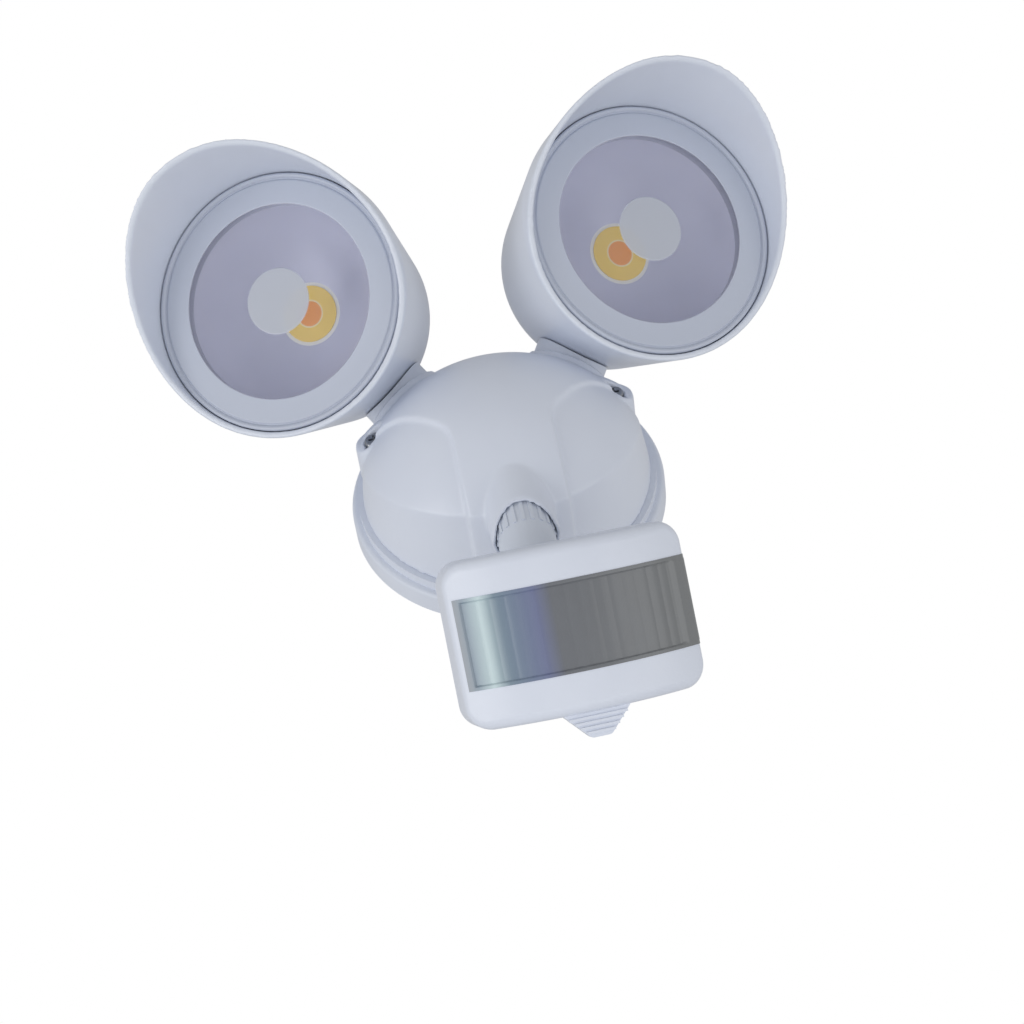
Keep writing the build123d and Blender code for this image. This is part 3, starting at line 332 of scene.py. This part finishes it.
# %% [markdown]
# ### Window film: cloudy polythene
# The film is a translucent grey. Seen from below it shows a bright streak and blue and violet
# bands on the left and the dark inside of the case on the right. These are light and shade,
# painted here as a ramp of plain colours across the film from edge to edge: a painted highlight,
# painted reflections and painted shade, so they stay where they are when the light changes.

# %% Window film
half_width, haze_mm, haze_share = 41.5, 7, 0.10

material, tree, shader, where = new_finish("fresnel_film", 0.36, Coat_Weight=0.25,
                                           Coat_Roughness=0.12)
tilt_axis = joints["sensor_tilt"]["axis"]
film_middle = Vector(joints["sensor_tilt"]["pos_m"]).dot(Vector(tilt_axis))
sideways = add_node(tree, "ShaderNodeVectorMath", {"operation": "DOT_PRODUCT"}, i0=where,
                    i1=tilt_axis).outputs["Value"]
across = add_node(tree, "ShaderNodeMapRange", Value=sideways,
                  From_Min=film_middle - half_width / 1000,
                  From_Max=film_middle + half_width / 1000)
sheen_and_shade_bands = add_node(tree, "ShaderNodeValToRGB", Fac=across.outputs[0])
ramp = sheen_and_shade_bands.color_ramp.elements
# Painted light in the ramp: a painted highlight at 0.12 between painted blue and violet
# reflections, and painted shade from 0.40 on, where the case's dark inside shows through.
for place, hex_colour in ((0.0, "A0A0A4"), (0.06, "8899A8"), (0.12, "C4D8DC"), (0.18, "788C9C"),
                          (0.33, "6C7498"), (0.40, "66696F"), (1.0, "7A7C7D")):
    stop = ramp[0] if place == 0.0 else ramp[-1] if place == 1.0 else ramp.new(place)
    stop.position, stop.color = place, linear(hex_colour)
haze = add_node(tree, "ShaderNodeTexNoise", Vector=where, Scale=1000 / haze_mm, Detail=2.0)
faint = add_node(tree, "ShaderNodeMapRange", Value=haze.outputs["Fac"], To_Min=0.0,
                 To_Max=haze_share)
mottle = add_node(tree, "ShaderNodeMix", {"data_type": "RGBA"}, i0=faint.outputs[0],
                  i6=sheen_and_shade_bands.outputs[0], i7=linear("858F99"))
tree.links.new(mottle.outputs[2], shader.inputs["Base Color"])
grained(tree, shader, where, 0.4, 0.008)
finishes["fresnel_film"] = material
print("film bands:", len(ramp))

# %% [markdown]
# ### Circuit boards: glass epoxy under green solder mask
# The glass cloth's weave shows faintly through the mask. A real thread is under half a
# millimetre wide; the wave here is coarser, or it would not show at all.

# %% Circuit board
weave_scale, weave_waver, weave_depth_mm = 350.0, 2.0, 0.01

material, tree, shader, where = new_finish("green_board", 0.4, Coat_Weight=0.5,
                                           Coat_Roughness=0.1)
weave = add_node(tree, "ShaderNodeTexWave", Vector=where, Scale=weave_scale,
                 Distortion=weave_waver).outputs["Fac"]
mask = add_node(tree, "ShaderNodeMix", {"data_type": "RGBA"}, i0=weave,
                i6=linear("1F5A36"), i7=linear("2A6B42"))
tree.links.new(mask.outputs[2], shader.inputs["Base Color"])
bump = add_node(tree, "ShaderNodeBump", Height=weave, Strength=1.0,
                Distance=weave_depth_mm / 1000)
tree.links.new(bump.outputs[0], shader.inputs["Normal"])
finishes["green_board"] = material
print("finishes:", len(finishes))

# %% [markdown]
# Every node of the frame names its material slot, and its slot takes the finish of that name.

# %% Dress the nodes
for entry in frame["record"]["subparts"]:
    for mesh_slot in nodes[entry["node"]].material_slots:
        mesh_slot.material = finishes[entry["material_slot"]]

# %% [markdown]
# ## Soft edges on the moulded shells
# No moulded part has a sharp edge: the mould's corners are rounded by a few tenths of a
# millimetre, and that is what catches the light. Sculpting them by hand would lose the sizes, so
# each shell is a copy of its CAD node with its triangles merged and its edges bevelled.

# %% Merged copies
import bmesh

join_distance, flat_angle = 2e-6, radians(0.5)


def merged_copy(name):
    """Mesh of a CAD node with its loose corners joined and its flat faces made whole."""
    mesh = nodes[name].data.copy()
    work = bmesh.new()
    work.from_mesh(mesh)
    bmesh.ops.remove_doubles(work, verts=work.verts, dist=join_distance)
    bmesh.ops.dissolve_limit(work, angle_limit=flat_angle, verts=work.verts, edges=work.edges)
    work.to_mesh(mesh)
    work.free()
    return mesh


def new_piece(name, mesh, finish_name, body, *stands_for):
    """Puts a mesh in the scene as a piece with its finish and the body it rides on."""
    piece = bpy.data.objects.new(name, mesh)
    bpy.context.scene.collection.objects.link(piece)
    mesh.materials.clear()
    mesh.materials.append(finishes[finish_name])
    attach(piece, body)
    if stands_for:
        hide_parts(*stands_for)
    return piece


slot_of = {entry["node"]: entry["material_slot"] for entry in frame["record"]["subparts"]}
body_of = {node: body for body, members in frame["record"]["behaviour"]["bodies"].items()
           for node in members}
print("nodes that ride on a body:", len(body_of))

# %% Bevelled copies
edge_steps, sharp_angle = 4, radians(32)


def soft_copy(node, radius_mm):
    """Copy of a CAD node whose edges sharper than sharp_angle are rounded by the radius."""
    piece = new_piece("soft_" + node, merged_copy(node), slot_of[node], body_of[node], node)
    bevel = piece.modifiers.new("round_edges", "BEVEL")
    bevel.width, bevel.segments, bevel.angle_limit = radius_mm / 1000, edge_steps, sharp_angle
    return piece, bevel


for node, radius_mm in (("back_plate", 0.4), ("sensor_front", 0.4), ("sensor_back", 0.3),
                        ("lock_nut", 0.2), ("collar_right", 0.4), ("collar_left", 0.4)):
    piece, bevel = soft_copy(node, radius_mm)
    piece.data.shade_smooth()
    piece.data.set_sharp_from_angle(angle=sharp_angle)
    bevel.limit_method, bevel.harden_normals = "ANGLE", True
    print(piece.name, "bevelled by", radius_mm, "mm")

# %% [markdown]
# ## The cover and the lamp housings
# The dome, the raised column, the screw shoulders, the hood and the two sockets run into each
# other in wide, soft bands, and the visors' thin rims are fully rounded. These edges cross at too
# many odd angles for one grid of surfaces, so each merged copy is laid over with an even net of
# small squares, and the net is then relaxed, which turns every step into such a band. Thinning it
# afterwards takes out the squares that lie flat and keeps each piece's mesh a handy size.

# %% Cover and housings
rim_mm, pull = 0.95, 0.5


def relaxed(node, square_mm, rounds, kept_part):
    """Copy of a CAD node under a net of even squares, relaxed in rounds and thinned to a part."""
    piece, _ = soft_copy(node, rim_mm)
    net = piece.modifiers.new("even_net", "REMESH")
    net.mode, net.voxel_size, net.use_smooth_shade = "VOXEL", square_mm / 1000, True
    relax = piece.modifiers.new("relax", "SMOOTH")
    relax.factor, relax.iterations = pull, rounds
    piece.modifiers.new("thin", "DECIMATE").ratio = kept_part
    print(piece.name, "under a net of", square_mm, "mm squares")


relaxed("cover", square_mm=0.65, rounds=9, kept_part=0.7)
for side in ("right", "left"):
    relaxed("housing_" + side, square_mm=0.6, rounds=22, kept_part=0.38)

# %% [markdown]
# ## Lamp lenses
# The lens is one pressed disc: a bead round its edge, a frosted band, the clear middle and a
# frosted disc that hides the chip. Being round, it is a profile turned about the lamp's axis. The
# profile is drawn with a few straight runs, and its corners are cut twice, each time at a quarter
# and three quarters of every run, so that they come out soft like pressed plastic.

# %% Turned pieces
crease_angle, seam_distance = radians(40), 1e-7


def cut_corners(profile, passes=2):
    """Each pass puts points at 1/4 and 3/4 of every run and keeps the two end points."""
    for _ in range(passes):
        start, stop = profile[:-1], profile[1:]
        inner = np.stack([0.75 * start + 0.25 * stop, 0.25 * start + 0.75 * stop], 1)
        profile = np.vstack([profile[:1], inner.reshape(-1, profile.shape[1]), profile[-1:]])
    return profile


def grid_mesh(name, points):
    """Quads over a grid of points; the columns run round and close, poles and seams are merged."""
    rows, columns = points.shape[:2]
    row, column = np.meshgrid(np.arange(rows - 1), np.arange(columns), indexing="ij")
    below, beside = row + 1, (column + 1) % columns
    corner_ids = [row * columns + column, below * columns + column,
                  below * columns + beside, row * columns + beside]
    faces = np.stack(corner_ids, -1).reshape(-1, 4)
    mesh = bpy.data.meshes.new(name)
    mesh.from_pydata(points.reshape(-1, 3), [], faces.tolist())
    work = bmesh.new()
    work.from_mesh(mesh)
    bmesh.ops.remove_doubles(work, verts=work.verts, dist=seam_distance)
    bmesh.ops.recalc_face_normals(work, faces=work.faces)
    work.to_mesh(mesh)
    work.free()
    mesh.shade_smooth()
    mesh.set_sharp_from_angle(angle=crease_angle)
    return mesh


def turned(name, profile_mm, origin, axis, segments=144):
    """origin + height * axis + radius * (cos t * side + sin t * other), all in metres."""
    axis = np.array(axis)
    side = np.cross(axis, (0, 0, 1))
    side /= np.linalg.norm(side)
    other = np.cross(axis, side)
    turn = np.linspace(0, 2 * np.pi, segments, endpoint=False)
    ring = np.cos(turn)[:, None] * side + np.sin(turn)[:, None] * other
    radius, height = np.array(profile_mm).T / 1000
    points = (np.array(origin) + height[:, None, None] * axis
              + radius[:, None, None] * ring[None])
    return grid_mesh(name, points)


print("corner cutting makes 3 points into", len(cut_corners(np.eye(3))))

# %% [markdown]
# The profile's points are (radius, height) in millimetres, height measured from the lens's front
# face outwards: the centre disc stands a little proud, then come the clear middle, the frosted
# band, a groove, the raised bead and the flat back. The left lens is the right one with x turned.

# %% Lenses
lens_profile = cut_corners(np.array([
    (0, 0.25), (11.6, 0.25), (12.4, 0.25), (12.8, 0.0), (13.6, 0.0), (36.4, 0.0), (37.0, 0.0),
    (37.4, 0.3), (38.2, 0.3), (45.4, 0.3), (46.2, 0.3), (46.6, -0.3), (47.0, -0.3), (47.4, 0.5),
    (48.2, 0.9), (48.9, 0.5), (49.1, -0.2), (49.1, -2.6), (48.7, -3.0), (47.5, -3.0), (0, -3.0),
]))
lens_station = 0.043  # metres
lens_front = head_centre + lamp_axis * lens_station
for side, sign in (("right", 1), ("left", -1)):
    mirror = Vector((sign, 1, 1))
    mesh = turned("lens", lens_profile, lens_front * mirror, lamp_axis * mirror)
    lens = new_piece("lens_disc_" + side, mesh, "clear_lens", "head_" + side, "lens_" + side)
    print(lens.name, "faces:", len(mesh.polygons))

# %% [markdown]
# ## The sensor's window
# Behind this film the detector looks out. It is moulded from cloudy polythene as a row of upright
# lens strips, and it runs round the bowed front of the case and over its right edge. A path
# follows the case's plan, a closed cross-section rides along it, and each strip swells a little.

# %% The sensor's own directions
hinge = Vector(joints["sensor_tilt"]["pos_m"])
sensor_right = Vector(joints["sensor_tilt"]["axis"]).normalized()
sensor_out = -Vector(joints["time_dial_turn"]["axis"]).normalized()
sensor_up = sensor_out.cross(sensor_right)
hinge_to_middle, hinge_to_front = 0.0172, 0.043  # metres
face_centre = hinge - sensor_up * hinge_to_middle + sensor_out * hinge_to_front
print("front of the case (mm):", [round(v * 1000, 1) for v in face_centre])

# %% Path along the front
bow_radius, edge_round, left_reach, side_run = 62.0, 4.0, 39.4, 2.2


def window_path(count=320):
    """Points and outward directions along the bow, round the right edge and down the side (mm)."""
    centre_x = half_width - edge_round
    centre_y = np.sqrt((bow_radius - edge_round) ** 2 - centre_x ** 2) - bow_radius
    corner = np.arctan2(centre_x, centre_y + bow_radius)
    bow = np.linspace(-np.arcsin(left_reach / bow_radius), corner, count)
    bend = np.linspace(corner, np.pi / 2, count // 8)[1:]
    run = np.linspace(0, side_run, 6)[1:]
    out = np.concatenate([np.stack([np.sin(bow), np.cos(bow)], 1),
                          np.stack([np.sin(bend), np.cos(bend)], 1),
                          np.tile((1.0, 0.0), (len(run), 1))])
    on_bow = bow_radius * out[:len(bow)] - (0, bow_radius)
    on_bend = (centre_x, centre_y) + edge_round * out[len(bow):len(bow) + len(bend)]
    on_side = np.stack([np.full(len(run), half_width), on_bend[-1, 1] - run], 1)
    return np.concatenate([on_bow, on_bend, on_side]), out


path, outward = window_path()
along = np.concatenate([[0], np.cumsum(np.linalg.norm(np.diff(path, axis=0), axis=1))])
print("path length (mm):", round(along[-1], 1))

# %% [markdown]
# Across the path the film is a closed section: level across the front, and pushed into the case
# behind. A flat frame is left along its top, its bottom and its left end. Inside the frame the
# film lies deeper, though it rises again before the right edge, and each lens strip swells as a
# parabola over its own width.

# %% Strips and frame
half_height, lift, proud, film_back, rows_up = 15.5, 0.7, 0.22, -1.2, 57
first_strip, strip_width, strip_swell = 3.2, 5.1, 0.16
frame_end, frame_slope, frame_inner, frame_ramp = 2.6, 0.4, 0.93, 0.025
inset, inset_end, inset_fade = 0.75, 36.8, 3.0

strip = np.clip((along - first_strip) / strip_width, 0, None)
phase = strip - np.floor(strip)
swell = np.where(along > first_strip, strip_swell * (1 - (2 * phase - 1) ** 2), 0.0)
share = np.linspace(-1, 1, rows_up)
inner = np.clip((frame_inner - np.abs(share)) / frame_ramp, 0, 1)
heights = np.concatenate([share * half_height, [half_height, -half_height]])
framed = (np.clip((along - frame_end) / frame_slope, 0, 1)
          * np.clip((inset_end - path[:, 0]) / inset_fade, 0, 1))
front = proud + inner[None] * (swell - inset * framed)[:, None]
rise = np.concatenate([front, np.full((len(along), 2), film_back)], 1)
print("window strips:", int(strip.max()) + 1)

# %% Sensor window
def to_frame(flat_x, flat_y, height):
    """Sensor's own x, depth and height in mm to the shared frame in metres."""
    return (np.array(face_centre) + (flat_x[..., None] * np.array(sensor_right)
            + flat_y[..., None] * np.array(sensor_out)
            + (height[..., None] + lift) * np.array(sensor_up)) / 1000)


flat = path[:, None, :] + rise[..., None] * outward[:, None, :]
window_points = to_frame(flat[..., 0], flat[..., 1], np.tile(heights, (len(path), 1)))
ends = [np.repeat(window_points[k].mean(0)[None, None], window_points.shape[1], 1)
        for k in (0, -1)]
window_points = np.concatenate([ends[0], window_points, ends[1]])
window_mesh = grid_mesh("window", window_points)
window = new_piece("sensor_window", window_mesh, "fresnel_film", "sensor", "fresnel_lens")
print(window.name, "faces:", len(window_mesh.polygons))

# %% [markdown]
# The camera stands where the photograph's did: below the light, looking up, rolled a little.
# Its numbers come from a fit of the picture's outlines.

# %% Camera
view_azimuth, view_elevation, view_roll = radians(-3.49), radians(-44.09), radians(13.69)
camera_distance, focal_px, offset_x, offset_y = 1.0, 2600.0, -0.00076, 0.00331
camera_width_mm, picture_px = 36.0, 1024
back = Vector((
    sin(view_azimuth) * cos(view_elevation), -cos(view_azimuth) * cos(view_elevation),
    sin(view_elevation),
))
horizon = Vector((cos(view_azimuth), sin(view_azimuth), 0))
upright = back.cross(horizon)
cam_right = horizon * cos(view_roll) - upright * sin(view_roll)
cam_up = horizon * sin(view_roll) + upright * cos(view_roll)
camera = bpy.data.objects.new("camera", bpy.data.cameras.new("camera"))
camera.data.sensor_width = camera_width_mm
camera.data.lens = camera_width_mm * focal_px / picture_px
camera_place = back * camera_distance - cam_right * offset_x - cam_up * offset_y
turn = Matrix((cam_right, cam_up, back)).transposed().to_4x4()
camera.matrix_world = Matrix.Translation(camera_place) @ turn
bpy.context.scene.collection.objects.link(camera)
bpy.context.scene.camera = camera
print("camera at", tuple(round(v, 4) for v in camera_place))

# %% [markdown]
# Soft studio light: an even world at half strength and four large soft lamps. The key stands low
# on the left, a weak lamp high on the left, one straight below and a fill low on the right. The
# world is white to the camera and through clear pieces, so the backdrop is clean and the object
# isn't flooded. The floor is pale paper.

# %% Lamps
middle = Vector((0, -0.05, 0))


def soft_lamp(name, position, watts, size=1.2):
    """Square area lamp aimed at the object's middle; its side is given in metres."""
    lamp = bpy.data.objects.new(name, bpy.data.lights.new(name, "AREA"))
    lamp.data.size, lamp.data.energy = size, watts
    aim_at = middle - Vector(position)
    lamp.rotation_euler = aim_at.to_track_quat("-Z", "Y").to_euler()
    lamp.location = position
    bpy.context.scene.collection.objects.link(lamp)


soft_lamp("key", (-1.55, -0.65, -0.75), 10.5)
soft_lamp("high", (-1.1, -1.3, 0.9), 0.6)
soft_lamp("low", (0.1, -0.5, -1.3), 3.0)
soft_lamp("fill", (1.3, -0.5, -1.0), 5.5)
print("lamps:", len(bpy.data.lights))

# %% Backdrop
world = bpy.data.worlds.new("studio")
bpy.context.scene.world = world
world.use_nodes = True
tree = world.node_tree
tree.nodes.clear()
ray = add_node(tree, "ShaderNodeLightPath")
seen = add_node(tree, "ShaderNodeMath", {"operation": "MAXIMUM"},
                i0=ray.outputs["Is Camera Ray"], i1=ray.outputs["Is Transmission Ray"])
ambient = add_node(tree, "ShaderNodeBackground", Color=(1, 1, 1, 1), Strength=0.5)
backdrop = add_node(tree, "ShaderNodeBackground", Color=(1, 1, 1, 1), Strength=1.0)
both = add_node(tree, "ShaderNodeMixShader", i0=seen.outputs[0],
                i1=ambient.outputs[0], i2=backdrop.outputs[0])
add_node(tree, "ShaderNodeOutputWorld", Surface=both.outputs[0])
print("ambient strength:", ambient.inputs["Strength"].default_value)

# %% Floor
floor_reach, floor_level = 6.0, -1.4
floor_mesh = bpy.data.meshes.new("floor")
floor_mesh.from_pydata([(x * floor_reach, y * floor_reach, floor_level)
                        for x, y in ((-1, -1), (1, -1), (1, 1), (-1, 1))], [], [(0, 1, 2, 3)])
floor = bpy.data.objects.new("floor", floor_mesh)
bpy.context.scene.collection.objects.link(floor)
paper = bpy.data.materials.new("white_paper")
paper.use_nodes = True
shader = paper.node_tree.nodes["Principled BSDF"]
shader.inputs["Base Color"].default_value = linear("F4F4F4")
shader.inputs["Roughness"].default_value = 0.9
floor_mesh.materials.append(paper)
print("floor at", floor_level, "m")

bpy.context.scene.view_settings.view_transform = "Standard"
